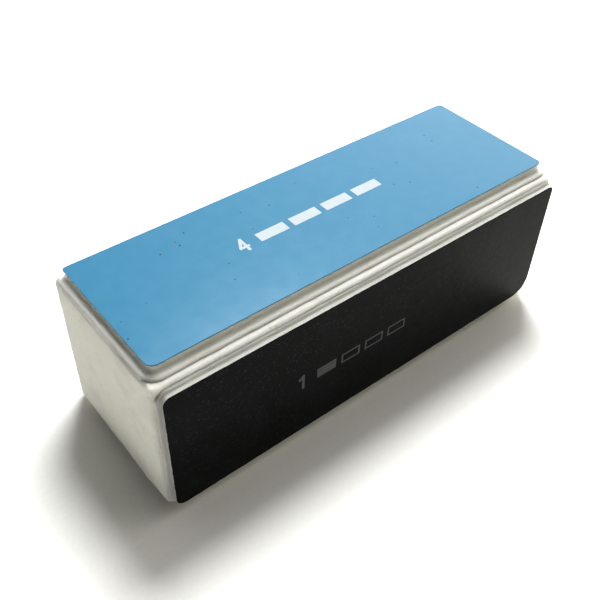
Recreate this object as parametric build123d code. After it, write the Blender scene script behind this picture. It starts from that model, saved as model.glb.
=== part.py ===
"""Nail buffer block: a foam bar with a cushioned abrasive or polishing pad on each long face.

Millimetres. +X runs along the bar and +Z is up. The origin is the middle of the bottom of the
whole block, on the surface that it lies on. Each pad is a stack bonded to the core: tape,
cushion, glue film, sheet, and a mark printed in the sheet that gives the order of use.
"""
from build123d import *
import os
from dataclasses import dataclass

# Foam core
core_length = 80.0
core_depth = 27.5
core_height = 25.7
core_edge_radius = 0.9

# Layers that every pad has
tape_thickness = 0.15
tape_setback = 0.6
glue_thickness = 0.05
glue_setback = 0.3
pad_corner_radius = 1.2
ink_thickness = 0.03

# Printed mark: a numeral, then a bar for each step, solid for the steps reached
mark_height = 3.2
numeral_width = 1.9
numeral_stroke = 0.5
numeral_gap = 1.9
bar_height = 2.0
bar_gap = 1.1
bar_outline = 0.3


@dataclass(frozen=True)
class Pad:
    """One pad, and the bare core left round it, as seen facing it with its numeral upright."""

    name: str
    sheet: str
    step: int
    cushion_thickness: float
    sheet_thickness: float
    left_margin: float
    right_margin: float
    low_margin: float
    high_margin: float
    mark_shift_along: float
    mark_shift_up: float
    bar_length: float

    @property
    def thickness(self):
        """How far the whole stack stands off the core."""
        return tape_thickness + self.cushion_thickness + glue_thickness + self.sheet_thickness


file_pad = Pad(
    name="file", sheet="abrasive_sheet", step=1,
    cushion_thickness=0.90, sheet_thickness=0.15,
    left_margin=0.9, right_margin=0.9, low_margin=0.4, high_margin=1.2,
    mark_shift_along=-5.7, mark_shift_up=-0.9, bar_length=3.8,
)
buff_pad = Pad(
    name="buff", sheet="abrasive_sheet", step=2,
    cushion_thickness=1.05, sheet_thickness=0.20,
    left_margin=1.1, right_margin=1.2, low_margin=1.4, high_margin=1.7,
    mark_shift_along=-3.5, mark_shift_up=0.4, bar_length=4.4,
)
smooth_pad = Pad(
    name="smooth", sheet="abrasive_sheet", step=3,
    cushion_thickness=0.85, sheet_thickness=0.20,
    left_margin=1.0, right_margin=1.1, low_margin=0.7, high_margin=0.9,
    mark_shift_along=-2.5, mark_shift_up=0.5, bar_length=4.4,
)
polish_pad = Pad(
    name="polish", sheet="film", step=4,
    cushion_thickness=1.65, sheet_thickness=0.20,
    left_margin=1.25, right_margin=1.2, low_margin=2.05, high_margin=1.25,
    mark_shift_along=-1.8, mark_shift_up=1.0, bar_length=5.3,
)
pads = (file_pad, buff_pad, smooth_pad, polish_pad)

# The core sits so that the whole block is centred on the origin and stands on its buffing sheet
core_centre = Vector(
    0,
    (file_pad.thickness - smooth_pad.thickness) / 2,
    buff_pad.thickness + core_height / 2,
)


def seat_of(pad):
    """Return the plane of the core face that a pad is bonded to, and that face's width."""
    half_depth, half_height = core_depth / 2, core_height / 2
    seats = {
        "file": ((0, -half_depth, 0), (1, 0, 0), (0, -1, 0), core_height),
        "buff": ((0, 0, -half_height), (1, 0, 0), (0, 0, -1), core_depth),
        "smooth": ((0, half_depth, 0), (-1, 0, 0), (0, 1, 0), core_height),
        "polish": ((0, 0, half_height), (1, 0, 0), (0, 0, 1), core_depth),
    }
    offset, along, outwards, face_width = seats[pad.name]
    return Plane(core_centre + Vector(*offset), x_dir=along, z_dir=outwards), face_width


def pad_outline(pad, face_width, setback):
    """Draw a pad's cut outline in the plane of its seat, drawn in by a setback all round."""
    length = core_length - pad.left_margin - pad.right_margin - 2 * setback
    width = face_width - pad.low_margin - pad.high_margin - 2 * setback
    middle = Pos((pad.left_margin - pad.right_margin) / 2, (pad.low_margin - pad.high_margin) / 2)
    return middle * RectangleRounded(length, width, pad_corner_radius)


def numeral_lines(step):
    """Return the centre lines of a plain numeral with its lower left corner at the origin."""
    tall, wide = mark_height - numeral_stroke, numeral_width - numeral_stroke
    if step == 1:
        return [Polyline((wide * 0.1, tall * 0.78), (wide * 0.6, tall), (wide * 0.6, 0))]
    if step == 2:
        bowl = CenterArc((wide / 2, tall - wide / 2), wide / 2, -35, 200)
        return [Wire([bowl, Line(bowl @ 0, (0, 0)), Line((0, 0), (wide, 0))])]
    if step == 3:
        upper, lower = tall * 0.24, tall * 0.26
        return [
            CenterArc((wide / 2, tall - upper), upper, -90, 240),
            CenterArc((wide / 2, lower), lower, -150, 240),
        ]
    stem = wide * 0.74
    return [
        Line((stem, 0), (stem, tall)),
        Polyline((stem, tall), (0, tall * 0.3), (wide, tall * 0.3)),
    ]


def numeral(step):
    """Draw a numeral with round-ended strokes, centred on its height, from x = 0."""
    strokes = [SlotArc(Wire(line.edges()), numeral_stroke) for line in numeral_lines(step)]
    edge = numeral_stroke / 2
    return Pos(edge, edge - mark_height / 2) * (Sketch() + strokes)


def step_bar(pad, number):
    """Draw one bar of the row: solid up to the pad's own step, and an outline after it."""
    bar = Rectangle(pad.bar_length, bar_height)
    if number <= pad.step:
        return bar
    return bar - Rectangle(pad.bar_length - 2 * bar_outline, bar_height - 2 * bar_outline)


def mark_shapes(pad):
    """Draw a pad's mark as separate shapes, centred on its place in the plane of the seat."""
    row_start = numeral_width + numeral_gap
    pitch = pad.bar_length + bar_gap
    mark_length = row_start + len(pads) * pitch - bar_gap
    place = Pos(pad.mark_shift_along - mark_length / 2, pad.mark_shift_up)
    bars = [
        place * Pos(row_start + pad.bar_length / 2 + pitch * (number - 1), 0) * step_bar(pad, number)
        for number in range(1, len(pads) + 1)
    ]
    return [place * numeral(pad.step), *bars]


def build_core():
    """Build the foam bar, with every edge softly rounded."""
    bar = Pos(core_centre) * Box(core_length, core_depth, core_height)
    return fillet(bar.edges(), core_edge_radius)


def build_pad(pad):
    """Build one pad's pieces, from the core outwards, and return them by node name."""
    seat, face_width = seat_of(pad)
    layers = (
        ("bond_tape", tape_thickness, tape_setback),
        ("cushion", pad.cushion_thickness, 0),
        ("glue_film", glue_thickness, glue_setback),
        (pad.sheet, pad.sheet_thickness, 0),
    )
    stack = {}
    height = 0
    for layer, thickness, setback in layers:
        outline = seat.offset(height) * pad_outline(pad, face_width, setback)
        stack[f"{pad.name}_{layer}"] = extrude(outline, thickness)
        height += thickness
    ink_seat = seat.offset(height - ink_thickness)
    ink = [extrude(ink_seat * shape, ink_thickness) for shape in mark_shapes(pad)]
    sheet = f"{pad.name}_{pad.sheet}"
    stack[sheet] = stack[sheet] - ink
    stack[f"{pad.name}_step_mark"] = Compound(ink)
    return stack


pieces = {"foam_core": build_core()}
for each_pad in pads:
    pieces.update(build_pad(each_pad))

os.makedirs("parts", exist_ok=True)
for node, solid in pieces.items():
    solid.label = node
    export_step(solid, f"parts/{node}.step")
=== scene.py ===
"""Looks of the nail buffer block: cut foam, a polishing film, three abrasive sheets and their print.

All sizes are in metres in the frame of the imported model: +X along the block, +Z up, and the
origin under its middle. Places come from the boxes of the CAD nodes, and each soft or coated
piece is modelled again in the space that its CAD node holds.
"""
import logging
import math
from collections.abc import Callable
from dataclasses import dataclass, field
from enum import Enum

import bmesh
import bpy
from mathutils import Matrix, Quaternion, Vector

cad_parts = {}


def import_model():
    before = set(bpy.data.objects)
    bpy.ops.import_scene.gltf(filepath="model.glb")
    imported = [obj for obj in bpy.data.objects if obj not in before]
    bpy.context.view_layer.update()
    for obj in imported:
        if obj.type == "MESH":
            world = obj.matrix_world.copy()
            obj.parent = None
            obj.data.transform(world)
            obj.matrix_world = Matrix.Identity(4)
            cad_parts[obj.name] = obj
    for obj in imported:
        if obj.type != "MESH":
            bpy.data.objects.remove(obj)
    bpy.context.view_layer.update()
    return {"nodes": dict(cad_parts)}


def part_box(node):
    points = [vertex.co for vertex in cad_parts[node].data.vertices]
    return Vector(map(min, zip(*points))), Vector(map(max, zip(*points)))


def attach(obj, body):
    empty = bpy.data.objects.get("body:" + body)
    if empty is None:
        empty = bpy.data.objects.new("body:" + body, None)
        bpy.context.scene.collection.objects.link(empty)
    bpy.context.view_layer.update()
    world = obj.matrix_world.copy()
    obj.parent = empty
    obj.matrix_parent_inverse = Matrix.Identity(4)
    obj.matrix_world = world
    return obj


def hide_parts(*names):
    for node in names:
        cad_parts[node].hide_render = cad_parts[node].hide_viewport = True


MM = 0.001
ROOT = "root"
Colour = tuple[float, float, float]
Direction = tuple[float, float, float]
WELD = 0.0005 * MM
SAME_PLACE = 0.01 * MM
CORNER_SEGMENTS = 10
log = logging.getLogger("nail_buffer_block")


class Face(Enum):
    """The long faces of the block, named after the step that is done with each."""

    FILE = "file"
    BUFF = "buff"
    SMOOTH = "smooth"
    POLISH = "polish"

    @property
    def directions(self) -> tuple[Vector, Vector, Vector]:
        """Directions along the face, up it and out of it, as seen facing its upright numeral."""
        along, out = {
            Face.FILE: ((1, 0, 0), (0, -1, 0)),
            Face.BUFF: ((1, 0, 0), (0, 0, -1)),
            Face.SMOOTH: ((-1, 0, 0), (0, 1, 0)),
            Face.POLISH: ((1, 0, 0), (0, 0, 1)),
        }[self]
        return Vector(along), Vector(out).cross(Vector(along)), Vector(out)


class Part(Enum):
    """What is selected in edit mode, with the names of its mesh sequence and its mode."""

    POINTS = ("verts", "VERT")
    EDGES = ("edges", "EDGE")
    FACES = ("faces", "FACE")


# ---------------------------------------------------------------- modelling by hand


def select_alone(piece: bpy.types.Object) -> None:
    """Select a piece and nothing else, and make it the active object.

    Args:
        piece: the object.
    """
    bpy.ops.object.select_all(action="DESELECT")
    piece.select_set(True)
    bpy.context.view_layer.objects.active = piece


def begin(piece: bpy.types.Object) -> None:
    """Select a piece alone and open it in edit mode.

    Args:
        piece: the mesh object to edit.
    """
    select_alone(piece)
    bpy.ops.object.mode_set(mode="EDIT")


def end() -> None:
    """Leave edit mode."""
    bpy.ops.object.mode_set(mode="OBJECT")


def pick(piece: bpy.types.Object, part: Part, wanted: Callable[..., bool]) -> None:
    """Select the points, edges or faces of the edited piece that pass a test, and nothing else.

    Args:
        piece: the mesh object in edit mode.
        part: what to select.
        wanted: takes an element and says whether it is selected.
    """
    sequence, mode = part.value
    bpy.ops.mesh.select_mode(type=mode)
    bpy.ops.mesh.select_all(action="DESELECT")
    mesh = bmesh.from_edit_mesh(piece.data)
    for element in getattr(mesh, sequence):
        if wanted(element):
            element.select_set(True)
    mesh.select_flush_mode()
    bmesh.update_edit_mesh(piece.data)


def divide(piece: bpy.types.Object, wanted: Callable[..., bool], length: float,
           pitch: float) -> None:
    """Divide the edited piece's edges that pass a test, and the faces between them.

    Args:
        piece: the mesh object in edit mode.
        wanted: takes an edge and says whether it is divided.
        length: how long those edges are.
        pitch: about how far apart the new points are.
    """
    pick(piece, Part.EDGES, wanted)
    bpy.ops.mesh.subdivide(number_cuts=max(1, round(length / pitch) - 1))


def roughen(piece: bpy.types.Object, kind: str, grain: float, height: float, group: str,
            direction: str = "NORMAL") -> None:
    """Displace part of a piece by a noise, and apply it.

    Args:
        piece: the mesh object, in object mode.
        kind: the noise, as Blender names its legacy textures.
        grain: size of the noise.
        height: how far the noise moves the surface from its lowest to its highest.
        group: the vertex group that is moved.
        direction: the direction that it moves in.
    """
    noise = bpy.data.textures.new(f"{piece.name}_{group}_{kind.lower()}", kind)
    noise.noise_scale = grain
    relief = piece.modifiers.new("relief", "DISPLACE")
    relief.texture = noise
    relief.texture_coords = "LOCAL"
    relief.strength = height
    relief.mid_level = 0.5
    relief.direction = direction
    relief.vertex_group = group
    select_alone(piece)
    bpy.ops.object.modifier_apply(modifier=relief.name)


def mark_group(piece: bpy.types.Object, name: str, share: Callable[[Vector], float]) -> None:
    """Put a piece's points in a vertex group, each with its own share.

    Args:
        piece: the mesh object, in object mode.
        name: the group's name.
        share: takes a point's place and gives its share, from 0 to 1.
    """
    group = piece.vertex_groups.new(name=name)
    for point in piece.data.vertices:
        weight = share(point.co)
        if weight > 0:
            group.add([point.index], min(1.0, weight), "REPLACE")


def settle(piece: bpy.types.Object, place: Matrix, crease: float = 40) -> None:
    """Move a piece to its place, leave its object at the origin, and smooth its soft edges.

    Args:
        piece: the mesh object, in object mode.
        place: where it goes.
        crease: edges that turn by more than this many degrees stay sharp.
    """
    piece.matrix_world = place
    select_alone(piece)
    bpy.ops.object.transform_apply(location=True, rotation=True, scale=True)
    bpy.ops.object.mode_set(mode="EDIT")
    bpy.ops.mesh.select_all(action="SELECT")
    bpy.ops.mesh.remove_doubles(threshold=WELD)
    bpy.ops.mesh.normals_make_consistent(inside=False)
    bpy.ops.object.mode_set(mode="OBJECT")
    bpy.ops.object.shade_smooth_by_angle(angle=math.radians(crease))
    piece.vertex_groups.clear()


def hand_over(piece: bpy.types.Object, node: str, finish: bpy.types.Material) -> None:
    """Dress a finished piece and let it stand for its CAD node.

    Args:
        piece: the finished mesh object.
        node: the CAD node that it replaces.
        finish: its material.
    """
    piece.data.materials.clear()
    piece.data.materials.append(finish)
    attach(piece, ROOT)
    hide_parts(node)
    log.info("%s: %d faces, for %s", piece.name, len(piece.data.polygons), node)


# ---------------------------------------------------------------- node groups


class Kit:
    """Small helpers to place and join shader nodes in one tree."""

    def __init__(self, tree: bpy.types.NodeTree) -> None:
        """Keep the tree that nodes are added to.

        Args:
            tree: a material's tree or a group's.
        """
        self.tree = tree
        self.count = 0

    def add(self, kind: str, **settings: object) -> bpy.types.Node:
        """Add a node and set its properties.

        Args:
            kind: the node's type name.
            **settings: its properties by name.

        Returns:
            The new node.
        """
        node = self.tree.nodes.new(kind)
        node.location = (220 * (self.count % 8), -260 * (self.count // 8))
        self.count += 1
        for name, value in settings.items():
            setattr(node, name, value)
        return node

    def feed(self, socket: bpy.types.NodeSocket, value: object) -> None:
        """Join an output to a socket, or set the socket to a plain value.

        Args:
            socket: an input.
            value: an output socket, a number or a colour.
        """
        if isinstance(value, bpy.types.NodeSocket):
            self.tree.links.new(value, socket)
        elif isinstance(value, tuple) and len(value) == 3 and len(socket.default_value) == 4:
            socket.default_value = (*value, 1.0)
        else:
            socket.default_value = value

    def math(self, operation: str, first: object, second: object = 0.0) -> bpy.types.NodeSocket:
        """Add a Math node.

        Args:
            operation: what it does.
            first: its first input.
            second: its second input.

        Returns:
            Its output.
        """
        node = self.add("ShaderNodeMath", operation=operation)
        self.feed(node.inputs[0], first)
        self.feed(node.inputs[1], second)
        return node.outputs[0]

    def spread(self, value: object, low: object, high: object, to_low: object = 0.0,
               to_high: object = 1.0) -> bpy.types.NodeSocket:
        """Stretch a range of values to another, smoothly and with its ends held.

        Args:
            value: what is stretched.
            low: the value that becomes to_low.
            high: the value that becomes to_high.
            to_low: the new low end.
            to_high: the new high end.

        Returns:
            The stretched value.
        """
        node = self.add("ShaderNodeMapRange", interpolation_type="SMOOTHSTEP")
        for socket, given in zip(node.inputs, (value, low, high, to_low, to_high)):
            self.feed(socket, given)
        return node.outputs[0]

    def blend(self, share: object, first: object, second: object,
              kind: str = "MIX") -> bpy.types.NodeSocket:
        """Mix two colours.

        Args:
            share: how much of the second is used.
            first: the colour at 0.
            second: the colour at 1.
            kind: the blend type.

        Returns:
            The mixed colour.
        """
        node = self.add("ShaderNodeMix", data_type="RGBA", blend_type=kind)
        self.feed(node.inputs["Factor"], share)
        self.feed(node.inputs[6], first)
        self.feed(node.inputs[7], second)
        return node.outputs[2]

    def noise(self, where: object, scale: object, detail: float = 3.0,
              roughness: float = 0.5) -> bpy.types.NodeSocket:
        """Add a noise.

        Args:
            where: the coordinates.
            scale: how many waves there are to a metre.
            detail: how many finer layers it has.
            roughness: how strong the finer layers are.

        Returns:
            Its value, about 0.5.
        """
        node = self.add("ShaderNodeTexNoise")
        self.feed(node.inputs["Vector"], where)
        self.feed(node.inputs["Scale"], scale)
        self.feed(node.inputs["Detail"], detail)
        self.feed(node.inputs["Roughness"], roughness)
        return node.outputs[0]

    def cells(self, where: object, scale: object, feature: str = "F1") -> bpy.types.Node:
        """Add a Voronoi texture.

        Args:
            where: the coordinates.
            scale: how many cells there are to a metre.
            feature: which distance it measures.

        Returns:
            The node.
        """
        node = self.add("ShaderNodeTexVoronoi", feature=feature)
        self.feed(node.inputs["Vector"], where)
        self.feed(node.inputs["Scale"], scale)
        return node


def new_group(name: str, takes: dict[str, object], gives: dict[str, str]) -> tuple[
        bpy.types.NodeTree, Kit, bpy.types.Node, bpy.types.Node]:
    """Start a shader node group with named inputs and outputs.

    Args:
        name: the group's name.
        takes: its inputs' names and default values. A tuple is a colour, and None a vector.
        gives: its outputs' names and socket types.

    Returns:
        The group, a kit for it, its input node and its output node.
    """
    tree = bpy.data.node_groups.new(name, "ShaderNodeTree")
    for label, value in takes.items():
        kind = "NodeSocketVector" if value is None else (
            "NodeSocketColor" if isinstance(value, tuple) else "NodeSocketFloat")
        socket = tree.interface.new_socket(name=label, in_out="INPUT", socket_type=kind)
        if isinstance(value, tuple):
            socket.default_value = (*value, 1.0)
        elif value is not None:
            socket.default_value = value
    for label, kind in gives.items():
        tree.interface.new_socket(name=label, in_out="OUTPUT", socket_type=kind)
    kit = Kit(tree)
    return tree, kit, kit.add("NodeGroupInput"), kit.add("NodeGroupOutput")


def foam_cells_group() -> bpy.types.NodeTree:
    """Build the cut face of a fine closed-cell foam: open cells, pits, lumps, a little soiling, and
    painted shade that darkens the open cells and pits.

    Returns:
        The group, which gives a colour, a roughness and a height.
    """
    tree, kit, takes, gives = new_group(
        "foam_cells",
        {"Vector": None, "Colour": (0.8, 0.8, 0.7), "Soiled Colour": (0.5, 0.48, 0.4),
         "Cells per Metre": 4000.0, "Open Cells": 0.4, "Soiling": 0.2},
        {"Colour": "NodeSocketColor", "Roughness": "NodeSocketFloat",
         "Height": "NodeSocketFloat"},
    )
    where, scale = takes.outputs["Vector"], takes.outputs["Cells per Metre"]
    walls = kit.cells(where, scale, "DISTANCE_TO_EDGE").outputs["Distance"]
    pores = kit.spread(walls, 0.0, 0.32)
    ids = kit.cells(where, scale)
    deep = kit.spread(ids.outputs["Color"], 0.45, 0.95)
    lumps = kit.noise(where, kit.math("MULTIPLY", scale, 0.11), 4.0, 0.6)
    blotches = kit.noise(where, kit.math("MULTIPLY", scale, 0.028), 3.0, 0.55)
    open_cell = kit.math("MULTIPLY", kit.math("MULTIPLY", pores, deep), takes.outputs["Open Cells"])
    voids = kit.cells(where, kit.math("MULTIPLY", scale, 0.3))
    pits = kit.math("MULTIPLY", kit.spread(voids.outputs["Distance"], 0.24, 0.1),
                    kit.spread(voids.outputs["Color"], 0.74, 0.82))
    height = kit.math("SUBTRACT", kit.math("MULTIPLY", lumps, 0.9), open_cell)
    height = kit.math("SUBTRACT", height, pits)
    kit.feed(gives.inputs["Height"], height)
    soil_and_pit_shade = kit.math("MULTIPLY", kit.spread(blotches, 0.47, 0.72), takes.outputs["Soiling"])
    # Painted shade: the open cells and pits, already sunk by the height, are also darkened towards the
    # soil colour; only the blotches above are soiling.
    soil_and_pit_shade = kit.math("ADD", soil_and_pit_shade, kit.math("MULTIPLY", open_cell, 0.22))
    soil_and_pit_shade = kit.math("ADD", soil_and_pit_shade, kit.math("MULTIPLY", pits, 0.45))
    kit.feed(gives.inputs["Colour"], kit.blend(
        kit.math("MINIMUM", soil_and_pit_shade, 1.0), takes.outputs["Colour"], takes.outputs["Soiled Colour"]))
    kit.feed(gives.inputs["Roughness"], kit.spread(lumps, 0.2, 0.8, 0.72, 0.92))
    return tree


def grit_field_group() -> bpy.types.NodeTree:
    """Build a coat of abrasive: packed grains, a few that catch the light, and rubbed patches.

    Returns:
        The group, which gives a colour, a roughness and a height.
    """
    tree, kit, takes, gives = new_group(
        "grit_field",
        {"Vector": None, "Colour": (0.01, 0.01, 0.01), "Grain Colour": (0.05, 0.05, 0.05),
         "Grains per Metre": 6000.0, "Bright Grains": 0.2, "Rubbed": 0.2,
         "Roughness": 0.7},
        {"Colour": "NodeSocketColor", "Roughness": "NodeSocketFloat",
         "Height": "NodeSocketFloat"},
    )
    where, scale = takes.outputs["Vector"], takes.outputs["Grains per Metre"]
    grains = kit.cells(where, scale)
    domes = kit.spread(grains.outputs["Distance"], 0.75, 0.05)
    tone = kit.noise(grains.outputs["Position"], kit.math("MULTIPLY", scale, 3.1), 0.0)
    cut = kit.math("SUBTRACT", 0.78, kit.math("MULTIPLY", takes.outputs["Bright Grains"], 0.45))
    bright = kit.math("MULTIPLY", kit.spread(tone, cut, kit.math("ADD", cut, 0.06)), domes)
    clumps = kit.noise(where, kit.math("MULTIPLY", scale, 0.13), 3.0, 0.6)
    rubbed = kit.math("MULTIPLY", kit.spread(clumps, 0.48, 0.75), takes.outputs["Rubbed"])
    shade = kit.math("ADD", kit.math("MULTIPLY", bright, 0.85), kit.math("MULTIPLY", rubbed, 0.3))
    kit.feed(gives.inputs["Colour"], kit.blend(
        kit.math("MINIMUM", shade, 1.0), takes.outputs["Colour"], takes.outputs["Grain Colour"]))
    dull = kit.math("SUBTRACT", takes.outputs["Roughness"], kit.math("MULTIPLY", bright, 0.3))
    kit.feed(gives.inputs["Roughness"], dull)
    kit.feed(gives.inputs["Height"], kit.math(
        "ADD", kit.math("MULTIPLY", domes, kit.math("ADD", tone, 0.3)), clumps))
    return tree


def handled_group() -> bpy.types.NodeTree:
    """Build the marks of handling: broad smears and fine scratches that run along the block.

    Returns:
        The group, which gives a smear mask and a scratch mask.
    """
    tree, kit, takes, gives = new_group(
        "handled",
        {"Vector": None, "Smear Size": 0.012, "Scratches": 0.5},
        {"Smears": "NodeSocketFloat", "Scratches": "NodeSocketFloat"},
    )
    where = takes.outputs["Vector"]
    broad = kit.noise(where, kit.math("DIVIDE", 1.0, takes.outputs["Smear Size"]), 3.0, 0.6)
    kit.feed(gives.inputs["Smears"], kit.spread(broad, 0.4, 0.7))
    stretched = kit.add("ShaderNodeMapping")
    kit.feed(stretched.inputs["Vector"], where)
    stretched.inputs["Rotation"].default_value = (0.0, 0.0, math.radians(7))
    stretched.inputs["Scale"].default_value = (0.04, 1.0, 1.0)
    lines = kit.noise(stretched.outputs[0], 5200.0, 2.0, 0.7)
    patches = kit.spread(kit.noise(where, 160.0, 2.0), 0.5, 0.68)
    kit.feed(gives.inputs["Scratches"], kit.math(
        "MULTIPLY", kit.math("MULTIPLY", kit.spread(lines, 0.6, 0.72), patches),
        takes.outputs["Scratches"]))
    return tree


@dataclass
class EffectGroups:
    """The shader node groups that more than one finish uses, each built once."""

    foam_cells: bpy.types.NodeTree = field(default_factory=foam_cells_group)
    grit_field: bpy.types.NodeTree = field(default_factory=grit_field_group)
    handled: bpy.types.NodeTree = field(default_factory=handled_group)


def start_material(name: str) -> tuple[bpy.types.Material, Kit, bpy.types.Node, bpy.types.NodeSocket]:
    """Start a material with its shader and its object coordinates.

    Args:
        name: the material's name.

    Returns:
        The material, a kit for its tree, its Principled BSDF and the coordinates.
    """
    material = bpy.data.materials.new(name)
    material.use_nodes = True
    kit = Kit(material.node_tree)
    shader = material.node_tree.nodes["Principled BSDF"]
    where = kit.add("ShaderNodeTexCoord").outputs["Object"]
    return material, kit, shader, where


def place_group(kit: Kit, tree: bpy.types.NodeTree, **values: object) -> bpy.types.Node:
    """Place a group in a material with its own values.

    Args:
        kit: the material's kit.
        tree: the group.
        **values: its inputs by name, with _ for a space.

    Returns:
        The group node.
    """
    node = kit.add("ShaderNodeGroup", node_tree=tree)
    for name, value in values.items():
        kit.feed(node.inputs[name.replace("_", " ")], value)
    return node


def bump(kit: Kit, shader: bpy.types.Node, height: bpy.types.NodeSocket, depth: float,
         strength: float = 1.0) -> None:
    """Give a shader a bump from a height.

    Args:
        kit: the material's kit.
        shader: its Principled BSDF.
        height: the height, from 0 to 1.
        depth: how deep a height of 1 is.
        strength: how strongly it shows.
    """
    node = kit.add("ShaderNodeBump")
    node.inputs["Strength"].default_value = strength
    node.inputs["Distance"].default_value = depth
    kit.feed(node.inputs["Height"], height)
    kit.feed(shader.inputs["Normal"], node.outputs["Normal"])


# ---------------------------------------------------------------- finishes


@dataclass(frozen=True)
class FoamFinish:
    """Cut closed-cell foam, slightly translucent."""

    name: str
    colour: Colour
    # Colour of the soiling, also used for the painted shade in the open cells and pits.
    soil_and_shade_colour: Colour = (0.46, 0.43, 0.34)
    cells_per_metre: float = 4200.0
    open_cells: float = 0.7
    soiling: float = 0.22
    depth: float = 0.09 * MM
    glow: float = 1.0
    glow_depth: float = 3.5 * MM

    def material(self, effects: EffectGroups) -> bpy.types.Material:
        """Build the foam's material.

        Args:
            effects: the shared node groups.

        Returns:
            The material.
        """
        material, kit, shader, where = start_material(self.name)
        cells = place_group(
            kit, effects.foam_cells, Vector=where, Colour=self.colour, Soiled_Colour=self.soil_and_shade_colour,
            Cells_per_Metre=self.cells_per_metre, Open_Cells=self.open_cells, Soiling=self.soiling)
        kit.feed(shader.inputs["Base Color"], cells.outputs["Colour"])
        kit.feed(shader.inputs["Roughness"], cells.outputs["Roughness"])
        shader.inputs["Specular IOR Level"].default_value = 0.25
        shader.inputs["Subsurface Weight"].default_value = self.glow
        shader.inputs["Subsurface Radius"].default_value = (1.0, 1.0, 0.95)
        shader.inputs["Subsurface Scale"].default_value = self.glow_depth
        bump(kit, shader, cells.outputs["Height"], self.depth, 0.8)
        return material


@dataclass(frozen=True)
class GritFinish:
    """A sheet coated with abrasive grains."""

    name: str
    colour: Colour
    grain: Colour
    grains_per_metre: float
    bright_grains: float
    rubbed: float
    roughness: float
    gloss: float
    depth: float

    def material(self, effects: EffectGroups) -> bpy.types.Material:
        """Build the coat's material.

        Args:
            effects: the shared node groups.

        Returns:
            The material.
        """
        material, kit, shader, where = start_material(self.name)
        grit = place_group(
            kit, effects.grit_field, Vector=where, Colour=self.colour, Grain_Colour=self.grain,
            Grains_per_Metre=self.grains_per_metre, Bright_Grains=self.bright_grains,
            Rubbed=self.rubbed, Roughness=self.roughness)
        handled = place_group(kit, effects.handled, Vector=where, Smear_Size=0.016, Scratches=0.25)
        dusted = kit.math("ADD", kit.math("MULTIPLY", handled.outputs["Smears"], 0.05),
                          kit.math("MULTIPLY", handled.outputs["Scratches"], 0.12))
        kit.feed(shader.inputs["Base Color"], kit.blend(dusted, grit.outputs["Colour"], self.grain))
        kit.feed(shader.inputs["Roughness"], grit.outputs["Roughness"])
        shader.inputs["Specular IOR Level"].default_value = self.gloss
        bump(kit, shader, grit.outputs["Height"], self.depth, 0.8)
        return material


@dataclass(frozen=True)
class FilmFinish:
    """The polishing film: a smooth satin coat, faintly pebbled and scratched, with a few flecks."""

    name: str
    colour: Colour
    pale: Colour
    fleck: Colour
    roughness: float = 0.16
    depth: float = 0.004 * MM
    pebbles_per_metre: float = 2600.0
    mottles_per_metre: float = 420.0
    flecks_per_metre: float = 900.0

    def material(self, effects: EffectGroups) -> bpy.types.Material:
        """Build the film's material.

        Args:
            effects: the shared node groups.

        Returns:
            The material.
        """
        material, kit, shader, where = start_material(self.name)
        handled = place_group(kit, effects.handled, Vector=where, Smear_Size=0.03, Scratches=0.3)
        pebble = kit.noise(where, self.pebbles_per_metre, 3.0, 0.6)
        mottle = kit.noise(where, self.mottles_per_metre, 4.0, 0.6)
        pale = kit.math("ADD", kit.math("MULTIPLY", kit.spread(mottle, 0.35, 0.7), 0.10),
                        kit.math("MULTIPLY", handled.outputs["Scratches"], 0.25))
        dust = kit.cells(where, self.flecks_per_metre)
        flecks = kit.math("MULTIPLY", kit.spread(dust.outputs["Distance"], 0.17, 0.08),
                          kit.spread(dust.outputs["Color"], 0.76, 0.82))
        coat = kit.blend(pale, self.colour, self.pale)
        kit.feed(shader.inputs["Base Color"], kit.blend(flecks, coat, self.fleck))
        kit.feed(shader.inputs["Roughness"], kit.math(
            "ADD", self.roughness, kit.math("MULTIPLY", mottle, 0.06)))
        shader.inputs["Specular IOR Level"].default_value = 0.6
        bump(kit, shader, kit.math("ADD", pebble, kit.math("MULTIPLY", mottle, 1.5)), self.depth, 0.5)
        return material


@dataclass(frozen=True)
class InkFinish:
    """Screen-printed ink, worn thin in places."""

    name: str
    colour: Colour
    under: Colour
    roughness: float = 0.5
    wear: float = 0.25

    def material(self, effects: EffectGroups) -> bpy.types.Material:
        """Build the ink's material.

        Args:
            effects: the shared node groups.

        Returns:
            The material.
        """
        material, kit, shader, where = start_material(self.name)
        handled = place_group(kit, effects.handled, Vector=where, Smear_Size=0.002, Scratches=0.8)
        pinholes = kit.spread(kit.noise(where, 9000.0, 2.0, 0.7), 0.56, 0.7)
        worn = kit.math("MULTIPLY", kit.math("MAXIMUM", handled.outputs["Scratches"], pinholes),
                        self.wear)
        kit.feed(shader.inputs["Base Color"], kit.blend(worn, self.colour, self.under))
        kit.feed(shader.inputs["Roughness"], kit.math(
            "ADD", self.roughness, kit.math("MULTIPLY", handled.outputs["Smears"], 0.12)))
        bump(kit, shader, pinholes, 0.004 * MM, 0.4)
        return material


@dataclass(frozen=True)
class AdhesiveFinish:
    """Tape and glue film, which show only as a thin line at the edge of a pad."""

    name: str
    colour: Colour

    def material(self, effects: EffectGroups) -> bpy.types.Material:
        """Build the adhesive's material.

        Args:
            effects: the shared node groups.

        Returns:
            The material.
        """
        material, kit, shader, where = start_material(self.name)
        handled = place_group(kit, effects.handled, Vector=where, Smear_Size=0.003, Scratches=0.2)
        darker = tuple(0.7 * part for part in self.colour)
        kit.feed(shader.inputs["Base Color"], kit.blend(
            handled.outputs["Smears"], self.colour, darker))
        kit.feed(shader.inputs["Roughness"], kit.spread(handled.outputs["Smears"], 0, 1, 0.3, 0.5))
        bump(kit, shader, handled.outputs["Smears"], 0.01 * MM, 0.4)
        return material


# ---------------------------------------------------------------- the block


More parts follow.
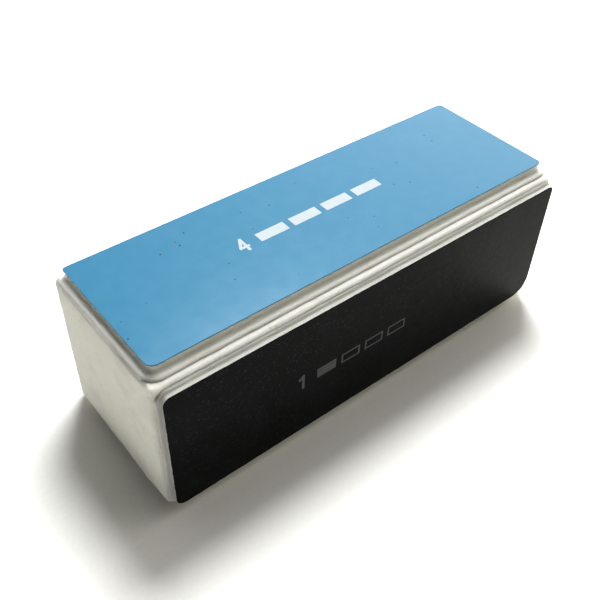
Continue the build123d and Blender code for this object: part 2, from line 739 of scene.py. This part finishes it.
@dataclass
class FoamCore:
    """The foam bar: long edges softly rounded, ends cut square and a little ragged."""

    finish: FoamFinish
    long_edge_radius: float = 0.5 * MM
    upright_edge_radius: float = 1.0 * MM
    end_edge_radius: float = 0.6 * MM
    skin_pitch: float = 0.4 * MM
    lump_size: float = 5.0 * MM
    lump_height: float = 0.22 * MM
    tear_size: float = 0.7 * MM
    tear_height: float = 0.6 * MM
    tear_reach: float = 1.0 * MM

    def build(self, effects: EffectGroups) -> bpy.types.Object:
        """Model the bar in the box of its CAD node.

        Args:
            effects: the shared node groups.

        Returns:
            The finished piece.
        """
        low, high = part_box("foam_core")
        size, middle = high - low, (high + low) / 2
        bpy.ops.object.select_all(action="DESELECT")
        bpy.ops.mesh.primitive_cube_add(size=1)
        piece = bpy.context.active_object
        piece.name = "core_foam_bar"
        piece.scale = size
        bpy.ops.object.transform_apply(scale=True)
        self.round_edges(piece, size)
        skin = piece.modifiers.new("skin", "REMESH")
        skin.mode = "VOXEL"
        skin.voxel_size = self.skin_pitch
        bpy.ops.object.modifier_apply(modifier=skin.name)
        self.weather(piece, size / 2)
        settle(piece, Matrix.Translation(middle), crease=60)
        hand_over(piece, "foam_core", self.finish.material(effects))
        return piece

    def round_edges(self, piece: bpy.types.Object, size: Vector) -> None:
        """Round the edges, each by the radius of the direction that it runs in.

        Args:
            piece: the bar in object mode.
            size: its size.
        """
        radii = (self.long_edge_radius, self.end_edge_radius, self.upright_edge_radius)
        begin(piece)
        for axis, radius in enumerate(radii):
            pick(piece, Part.EDGES,
                 lambda e: abs(e.verts[0].co[axis] - e.verts[1].co[axis]) > size[axis] / 2)
            bpy.ops.transform.edge_bevelweight(value=radius / max(radii))
        end()
        rounding = piece.modifiers.new("rounding", "BEVEL")
        rounding.limit_method = "WEIGHT"
        rounding.width = max(radii)
        rounding.segments = 5
        bpy.ops.object.modifier_apply(modifier=rounding.name)

    def weather(self, piece: bpy.types.Object, half: Vector) -> None:
        """Give the bar the soft lumps of foam all over, and torn cells along the rims of its ends.

        Args:
            piece: the bar in object mode, about the origin.
            half: half its size.
        """
        mark_group(piece, "skin", lambda p: 1.0)
        roughen(piece, "CLOUDS", self.lump_size, self.lump_height, "skin")

        def rim(p: Vector) -> float:
            """Share of tearing at a point, which is 1 on the rim and falls to 0 further in."""
            from_end = half.x - abs(p.x)
            from_side = min(half.y - abs(p.y), half.z - abs(p.z))
            return 1 - max(from_end, from_side) / self.tear_reach

        mark_group(piece, "rim", rim)
        roughen(piece, "CLOUDS", self.tear_size, self.tear_height, "rim")


@dataclass(frozen=True)
class Seat:
    """Where a pad sits: its place, its cut size, its layers, and how far the core's face goes."""

    place: Matrix
    length: float
    width: float
    tape_top: float
    cushion_top: float
    sheet_foot: float
    sheet_top: float
    core_low: Vector
    core_high: Vector

    @classmethod
    def of(cls, face: Face, sheet_node: str) -> "Seat":
        """Read a pad's seat from the boxes of its CAD nodes.

        Args:
            face: the face of the block.
            sheet_node: the CAD node of the pad's sheet.

        Returns:
            The seat.
        """
        along, up, out = face.directions

        def span(node: str, direction: Vector) -> tuple[float, float]:
            """Lowest and highest reach of a node's box in a direction."""
            reach = [corner.dot(direction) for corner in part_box(node)]
            return min(reach), max(reach)

        tape = span(f"{face.value}_bond_tape", out)
        cushion = span(f"{face.value}_cushion", out)
        sheet = span(sheet_node, out)
        left, right = span(sheet_node, along)
        low, high = span(sheet_node, up)
        foot = tape[0]
        centre = Vector(((left + right) / 2, (low + high) / 2))
        middle = along * centre.x + up * centre.y + out * foot
        core = (span("foam_core", along), span("foam_core", up))
        core_low, core_high = (Vector((core[0][edge], core[1][edge])) - centre for edge in (0, 1))
        turn = Matrix((along, up, out)).transposed().to_4x4()
        return cls(Matrix.Translation(middle) @ turn, right - left, high - low,
                   tape[1] - foot, cushion[1] - foot, sheet[0] - foot, sheet[1] - foot,
                   core_low, core_high)


@dataclass(frozen=True)
class Corners:
    """Radii of a sheet's corners as seen facing it: lower left, lower right, upper right and left."""

    low_left: float
    low_right: float
    high_right: float
    high_left: float

    def each(self) -> list[tuple[int, int, float]]:
        """Side along, side up and radius of each corner."""
        return [(-1, -1, self.low_left), (1, -1, self.low_right),
                (1, 1, self.high_right), (-1, 1, self.high_left)]


def lay_blank(name: str, length: float, width: float) -> bpy.types.Object:
    """Lay a flat rectangle about the origin and open it in edit mode.

    Args:
        name: the piece's name.
        length: its size along X.
        width: its size along Y.

    Returns:
        The blank.
    """
    bpy.ops.object.select_all(action="DESELECT")
    bpy.ops.mesh.primitive_plane_add(size=1)
    piece = bpy.context.active_object
    piece.name = name
    piece.scale = (length, width, 1)
    bpy.ops.object.transform_apply(scale=True)
    begin(piece)
    return piece


def round_corners(piece: bpy.types.Object, length: float, width: float, corners: Corners,
                  grow: float = 0.0) -> None:
    """Round each corner of a flat blank by its own radius.

    Args:
        piece: the blank in edit mode.
        length: its size along X.
        width: its size along Y.
        corners: the radii of the pad's corners.
        grow: how far the blank goes past the pad all round.
    """
    for side, level, radius in corners.each():
        corner = Vector((side * length / 2, level * width / 2, 0))
        pick(piece, Part.POINTS, lambda p: (p.co - corner).length < SAME_PLACE)
        bpy.ops.mesh.bevel(offset=radius + grow, segments=CORNER_SEGMENTS, affect="VERTICES")


@dataclass
class Cushion:
    """A pad's foam cushion: a foot with a rounded shelf on the core, then a hollowed cut wall."""

    face: Face
    finish: FoamFinish
    corners: Corners
    foot_reach: float
    foot_rise: float
    undercut: float = 0.06 * MM
    press: float = 0.12 * MM
    shelf_reach: float = 0.2 * MM
    shelf_rise: float = 0.2 * MM
    trim: float = 0.12 * MM
    sweep_steps: int = 6
    lip_height: float = 0.03 * MM
    wall_bands: int = 2
    wall_lean: float = 0.02 * MM
    foot_zone: float = 0.1 * MM
    foot_wave_share: float = 0.4
    recess_margin: float = 0.5 * MM
    outline_step: float = 0.9 * MM
    wave_size: float = 4.0 * MM
    wave_height: float = 0.08 * MM

    def build(self, seat: Seat, effects: EffectGroups) -> bpy.types.Object:
        """Model the cushion on its seat.

        Args:
            seat: where the pad sits.
            effects: the shared node groups.

        Returns:
            The finished piece.
        """
        name = self.face.value
        length, width = seat.length + 2 * self.foot_reach, seat.width + 2 * self.foot_reach
        piece = lay_blank(f"{name}_foam_cushion", length, width)
        round_corners(piece, length, width, self.corners, self.foot_reach)
        divide(piece, lambda e: e.calc_length() > length * 0.6, length, self.outline_step)
        divide(piece, lambda e: len(e.link_faces) == 1 and e.calc_length() > width * 0.6, width,
               self.outline_step)
        bpy.ops.mesh.select_all(action="SELECT")
        bpy.ops.mesh.dissolve_faces()
        lip = self.press + self.lip_height
        bpy.ops.mesh.extrude_region_move(TRANSFORM_OT_translate={"value": (0, 0, lip)})
        reach, height = self.foot_reach, lip
        for new_reach, new_height in self.profile(lip):
            bpy.ops.mesh.inset(thickness=reach - new_reach, depth=new_height - height)
            reach, height = new_reach, new_height
        rise = (seat.cushion_top + self.press - height) / self.wall_bands
        for _ in range(self.wall_bands):
            bpy.ops.mesh.inset(thickness=self.wall_lean, depth=rise)
        self.recess_foot(piece, seat)
        self.trim_foot(piece, seat)
        end()
        mark_group(piece, "wall",
                   lambda p: 1.0 if p.z > self.foot_zone else self.foot_wave_share)
        roughen(piece, "CLOUDS", self.wave_size, self.wave_height, "wall")
        settle(piece, seat.place @ Matrix.Translation((0, 0, -self.press)), crease=60)
        hand_over(piece, f"{name}_cushion", self.finish.material(effects))
        return piece

    def profile(self, lip: float) -> list[tuple[float, float]]:
        """List the wall's section from the lip inwards: round up to the shelf, then a hollow.

        Args:
            lip: the height that the section starts from.

        Returns:
            How far each point is outside the sheet's edge, and its height.
        """
        section = []
        inner = self.foot_reach - self.shelf_reach
        for number in range(1, self.sweep_steps + 1):
            angle = math.pi / 2 * number / self.sweep_steps
            section.append((self.foot_reach - self.shelf_reach * (1 - math.cos(angle)),
                            lip + self.shelf_rise * math.sin(angle)))
        for number in range(1, self.sweep_steps + 1):
            angle = math.pi / 2 * number / self.sweep_steps
            section.append((inner - (inner + self.undercut) * math.sin(angle),
                            lip + self.shelf_rise + self.foot_rise * (1 - math.cos(angle))))
        return section

    def trim_foot(self, piece: bpy.types.Object, seat: Seat) -> None:
        """Trim the foot a little short of where the core's face ends.

        Args:
            piece: the cushion in edit mode.
            seat: where the pad sits.
        """
        for axis in (0, 1):
            for side, limit in ((-1, seat.core_low[axis]), (1, seat.core_high[axis])):
                edge = limit - side * self.trim
                pick(piece, Part.POINTS, lambda p: side * (p.co[axis] - edge) > 0)
                flatten, centre = [1.0, 1.0, 1.0], [0.0, 0.0, 0.0]
                flatten[axis], centre[axis] = 0.0, edge
                bpy.ops.transform.resize(value=flatten, center_override=centre)

    def recess_foot(self, piece: bpy.types.Object, seat: Seat) -> None:
        """Let the tape into the underside, so that only the thin foot meets the core.

        Args:
            piece: the cushion in edit mode.
            seat: where the pad sits.
        """
        pick(piece, Part.FACES, lambda f: f.normal.z < -0.9)
        bpy.ops.mesh.inset(thickness=self.foot_reach + self.recess_margin)
        bpy.ops.transform.translate(value=(0, 0, seat.tape_top + self.press))


@dataclass
class Sheet:
    """A pad's working sheet: a thin cut slab with its own corners and a slightly ragged edge."""

    face: Face
    node: str
    slot: str
    piece_name: str
    finish: GritFinish | FilmFinish
    corners: Corners
    pitch: float
    ragged: float
    relief_size: float
    relief_height: float
    rim: float = 0.035 * MM
    sink: float = 0.012 * MM
    seed: int = 1

    def build(self, seat: Seat, effects: EffectGroups) -> bpy.types.Object:
        """Model the sheet on its cushion.

        Args:
            seat: where the pad sits.
            effects: the shared node groups.

        Returns:
            The finished piece.
        """
        piece = lay_blank(self.piece_name, seat.length, seat.width)
        self.cut_grid(piece, seat)
        bpy.ops.mesh.select_all(action="SELECT")
        bpy.ops.transform.vertex_random(offset=self.ragged, seed=self.seed)
        bpy.ops.transform.resize(value=(1, 1, 0), center_override=(0, 0, 0))
        thick = seat.sheet_top - self.sink - seat.sheet_foot
        bpy.ops.mesh.extrude_region_move(TRANSFORM_OT_translate={"value": (0, 0, thick)})
        pick(piece, Part.EDGES, lambda e: min(p.co.z for p in e.verts) > thick * 0.9
             and min(abs(f.normal.z) for f in e.link_faces) < 0.5)
        bpy.ops.mesh.bevel(offset=self.rim, segments=1, affect="EDGES")
        end()
        mark_group(piece, "top", lambda p: 1.0 if p.z > thick * 0.5 else 0.0)
        roughen(piece, "CLOUDS", self.relief_size, self.relief_height, "top", "Z")
        settle(piece, seat.place @ Matrix.Translation((0, 0, seat.sheet_foot)), crease=25)
        hand_over(piece, self.node, self.finish.material(effects))
        return piece

    def cut_grid(self, piece: bpy.types.Object, seat: Seat) -> None:
        """Round the blank's corners and divide the rest of it into small squares.

        Args:
            piece: the blank in edit mode.
            seat: where the pad sits.
        """
        patch = 1.1 * max(radius for _, _, radius in self.corners.each())
        inner = Vector((seat.length / 2 - patch, seat.width / 2 - patch, 0))
        for axis in (0, 1):
            for side in (-1, 1):
                place, normal = [0.0, 0.0, 0.0], [0.0, 0.0, 0.0]
                place[axis], normal[axis] = side * inner[axis], 1.0
                bpy.ops.mesh.select_all(action="SELECT")
                bpy.ops.mesh.bisect(plane_co=place, plane_no=normal)
        round_corners(piece, seat.length, seat.width, self.corners)
        for axis in (0, 1):
            divide(piece, lambda e: abs(e.verts[0].co[axis] - e.verts[1].co[axis]) > inner[axis],
                   2 * inner[axis], self.pitch)


@dataclass
class Pad:
    """One working pad: cushion and sheet modelled anew, tape, glue and print dressed as they are."""

    cushion: Cushion
    sheet: Sheet
    ink: InkFinish
    tape: AdhesiveFinish
    glue: AdhesiveFinish

    def build(self, nodes: dict[str, bpy.types.Object], effects: EffectGroups) -> None:
        """Build the pad's pieces and dress its CAD nodes.

        Args:
            nodes: the CAD nodes by name.
            effects: the shared node groups.
        """
        face = self.sheet.face
        seat = Seat.of(face, self.sheet.node)
        self.cushion.build(seat, effects)
        self.sheet.build(seat, effects)
        for layer, finish in (("step_mark", self.ink), ("bond_tape", self.tape),
                              ("glue_film", self.glue)):
            node = nodes[f"{face.value}_{layer}"]
            node.data.materials.clear()
            node.data.materials.append(finish.material(effects))
            log.info("%s: dressed as %s", node.name, finish.name)


# ---------------------------------------------------------------- the studio


@dataclass(frozen=True)
class Panel:
    """A broad soft light on one side of the surround, in its low or its high band."""

    side: Direction
    high: bool
    colour: Colour


@dataclass(frozen=True)
class Studio:
    """A pale floor, a soft key from high behind, pale panels behind and to the right, and a camera."""

    view_azimuth: float = -39.83
    view_elevation: float = 43.39
    view_roll: float = -1.73
    view_distance: float = 136.2 * MM
    view_aim: Direction = (-4.08 * MM, 0.40 * MM, 12.16 * MM)
    lens: float = 48.2
    key_direction: Direction = (0.33, 0.36, 1.0)
    key_distance: float = 0.5
    key_size: float = 0.17
    key_power: float = 2.72
    key_colour: Colour = (0.99, 1.0, 0.99)
    panels: tuple[Panel, ...] = (
        Panel((1, 0, 0), False, (2.60, 2.35, 2.15)),
        Panel((0, 1, 0), False, (2.30, 2.25, 2.30)),
        Panel((1, 0, 0), True, (1.50, 1.48, 1.38)),
    )
    low_full: float = 23.0
    band_low: float = 15.0
    band_high: float = 40.0
    base_glow: Colour = (0.03, 0.03, 0.03)
    floor_size: float = 4.0
    floor_colour: Colour = (0.82, 0.82, 0.81)
    fibres_per_metre: float = 1400.0
    sensor_width: float = 36.0

    def build(self) -> None:
        """Set up the floor, lights and camera, and a little more contrast than plain."""
        self.lay_floor()
        self.hang_key()
        self.paint_surround()
        self.place_camera()
        bpy.context.scene.view_settings.view_transform = "Standard"
        bpy.context.scene.view_settings.look = "Medium High Contrast"

    def lay_floor(self) -> None:
        """Lay a wide floor of pale matt board under the block."""
        bpy.ops.object.select_all(action="DESELECT")
        bpy.ops.mesh.primitive_plane_add(size=self.floor_size)
        floor = bpy.context.active_object
        floor.name = "floor"
        material, kit, shader, where = start_material("pale_board")
        fibres = kit.noise(where, self.fibres_per_metre, 4.0, 0.6)
        kit.feed(shader.inputs["Base Color"], kit.blend(
            kit.spread(fibres, 0.3, 0.8, 0.0, 0.5), self.floor_colour,
            tuple(0.93 * part for part in self.floor_colour)))
        shader.inputs["Roughness"].default_value = 0.9
        bump(kit, shader, fibres, 0.04 * MM, 0.3)
        floor.data.materials.append(material)

    def hang_key(self) -> None:
        """Hang the round soft key light."""
        direction = Vector(self.key_direction).normalized()
        light = bpy.data.lights.new("key", "AREA")
        light.shape = "DISK"
        light.size = self.key_size
        light.energy = self.key_power
        light.color = self.key_colour
        lamp = bpy.data.objects.new("key", light)
        bpy.context.scene.collection.objects.link(lamp)
        lamp.location = direction * self.key_distance
        lamp.rotation_euler = direction.to_track_quat("Z", "Y").to_euler()
        lamp.visible_camera = False

    def paint_surround(self) -> None:
        """Surround the scene with the panels, each fading out to its sides."""
        world = bpy.data.worlds.new("surround")
        bpy.context.scene.world = world
        world.use_nodes = True
        kit = Kit(world.node_tree)
        split = kit.add("ShaderNodeSeparateXYZ")
        kit.feed(split.inputs[0], kit.add("ShaderNodeTexCoord").outputs["Generated"])
        across, along, up = split.outputs
        reach = kit.math("SQRT", kit.math("SUBTRACT", 1.0, kit.math("MULTIPLY", up, up)))
        reach = kit.math("MAXIMUM", reach, 0.001)
        high = kit.spread(up, math.sin(math.radians(self.band_low)),
                          math.sin(math.radians(self.band_high)))
        rise = kit.spread(up, 0.0, math.sin(math.radians(self.low_full)))
        low = kit.math("MULTIPLY", rise, kit.math("SUBTRACT", 1.0, high))
        glow = self.base_glow
        for panel in self.panels:
            facing = kit.math("ADD", kit.math("MULTIPLY", across, panel.side[0]),
                              kit.math("MULTIPLY", along, panel.side[1]))
            facing = kit.math("MAXIMUM", kit.math("DIVIDE", facing, reach), 0.0)
            band = high if panel.high else low
            share = kit.math("MULTIPLY", kit.math("MULTIPLY", facing, facing), band)
            glow = kit.blend(share, glow, panel.colour, "ADD")
        kit.feed(world.node_tree.nodes["Background"].inputs["Color"], glow)

    def place_camera(self) -> None:
        """Place the camera by its azimuth, elevation, roll and distance from the point it aims at."""
        azimuth, elevation = math.radians(self.view_azimuth), math.radians(self.view_elevation)
        back = Vector((math.sin(azimuth) * math.cos(elevation),
                       -math.cos(azimuth) * math.cos(elevation), math.sin(elevation)))
        camera = bpy.data.objects.new("camera", bpy.data.cameras.new("camera"))
        bpy.context.scene.collection.objects.link(camera)
        camera.data.lens = self.lens
        camera.data.sensor_width = self.sensor_width
        camera.data.clip_start = 5 * MM
        camera.data.clip_end = 10
        camera.location = Vector(self.view_aim) + back * self.view_distance
        upright = (-back).to_track_quat("-Z", "Y")
        camera.rotation_mode = "QUATERNION"
        camera.rotation_quaternion = upright @ Quaternion((0, 0, 1), math.radians(-self.view_roll))
        bpy.context.scene.camera = camera


# ---------------------------------------------------------------- putting it together

CORE_FOAM = FoamFinish("core_foam", colour=(0.94, 0.93, 0.79))
CUSHION_FOAM = FoamFinish("cushion_foam", colour=(0.93, 0.92, 0.74), cells_per_metre=6000.0,
                          depth=0.06 * MM, glow_depth=3.0 * MM)
TAPE = AdhesiveFinish("bond_tape", (0.62, 0.58, 0.42))
GLUE = AdhesiveFinish("glue_film", (0.42, 0.40, 0.30))


def make_pads() -> list[Pad]:
    """List the pads with their sizes and finishes.

    Returns:
        The file, buff, smooth and polish pads.
    """
    file_corners = Corners(1.6 * MM, 3.6 * MM, 0.9 * MM, 1.3 * MM)
    even_corners = Corners(1.4 * MM, 1.1 * MM, 1.2 * MM, 1.5 * MM)
    film_corners = Corners(1.35 * MM, 0.8 * MM, 0.9 * MM, 0.6 * MM)
    file_grit = GritFinish("file_grit", (0.0020, 0.0027, 0.0030), (0.066, 0.080, 0.088), 4200.0, 0.22,
                           0.06, 0.38, 0.07, 0.015 * MM)
    buff_grit = GritFinish("buff_grit", (0.24, 0.25, 0.255), (0.55, 0.56, 0.57), 8200.0, 0.5,
                           0.4, 0.75, 0.3, 0.05 * MM)
    smooth_grit = GritFinish("smooth_grit", (0.37, 0.38, 0.38), (0.56, 0.57, 0.575), 11000.0, 0.5,
                             0.4, 0.7, 0.35, 0.03 * MM)
    film = FilmFinish("polish_film", (0.047, 0.195, 0.325), (0.085, 0.26, 0.40), (0.008, 0.02, 0.028))
    grey_ink = InkFinish("grey_ink", (0.075, 0.078, 0.08), (0.015, 0.015, 0.016), 0.6, 0.5)
    dark_ink = InkFinish("dark_ink", (0.03, 0.032, 0.038), (0.3, 0.31, 0.31), 0.55, 0.3)
    white_ink = InkFinish("white_ink", (0.36, 0.41, 0.44), (0.13, 0.30, 0.42), 0.5, 0.55)
    return [
        Pad(Cushion(Face.FILE, CUSHION_FOAM, file_corners, 0.55 * MM, 0.4 * MM, shelf_reach=0.3 * MM,
                    shelf_rise=0.3 * MM),
            Sheet(Face.FILE, "file_abrasive_sheet", "file_grit", "file_coarse_sheet", file_grit,
                  file_corners, 0.4 * MM, 0.05 * MM, 0.8 * MM, 0.04 * MM),
            grey_ink, TAPE, GLUE),
        Pad(Cushion(Face.BUFF, CUSHION_FOAM, even_corners, 0.35 * MM, 0.4 * MM),
            Sheet(Face.BUFF, "buff_abrasive_sheet", "buff_grit", "buff_medium_sheet", buff_grit,
                  even_corners, 0.6 * MM, 0.03 * MM, 1.2 * MM, 0.02 * MM, seed=2),
            dark_ink, TAPE, GLUE),
        Pad(Cushion(Face.SMOOTH, CUSHION_FOAM, even_corners, 0.3 * MM, 0.35 * MM),
            Sheet(Face.SMOOTH, "smooth_abrasive_sheet", "smooth_grit", "smooth_fine_sheet",
                  smooth_grit, even_corners, 0.6 * MM, 0.03 * MM, 1.2 * MM, 0.02 * MM, seed=3),
            dark_ink, TAPE, GLUE),
        Pad(Cushion(Face.POLISH, CUSHION_FOAM, film_corners, 1.1 * MM, 0.55 * MM,
                    undercut=0.15 * MM, press=0.16 * MM, shelf_reach=0.6 * MM,
                    shelf_rise=0.6 * MM),
            Sheet(Face.POLISH, "polish_film", "polish_film", "polish_satin_film", film,
                  film_corners, 0.55 * MM, 0.035 * MM, 9.0 * MM, 0.02 * MM, seed=4),
            white_ink, TAPE, GLUE),
    ]


def main() -> None:
    """Load the frame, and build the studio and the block."""
    logging.basicConfig(level=logging.INFO, format="%(name)s: %(message)s")
    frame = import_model()
    Studio().build()
    effects = EffectGroups()
    FoamCore(CORE_FOAM).build(effects)
    for pad in make_pads():
        pad.build(frame["nodes"], effects)


if __name__ == "__main__":
    main()
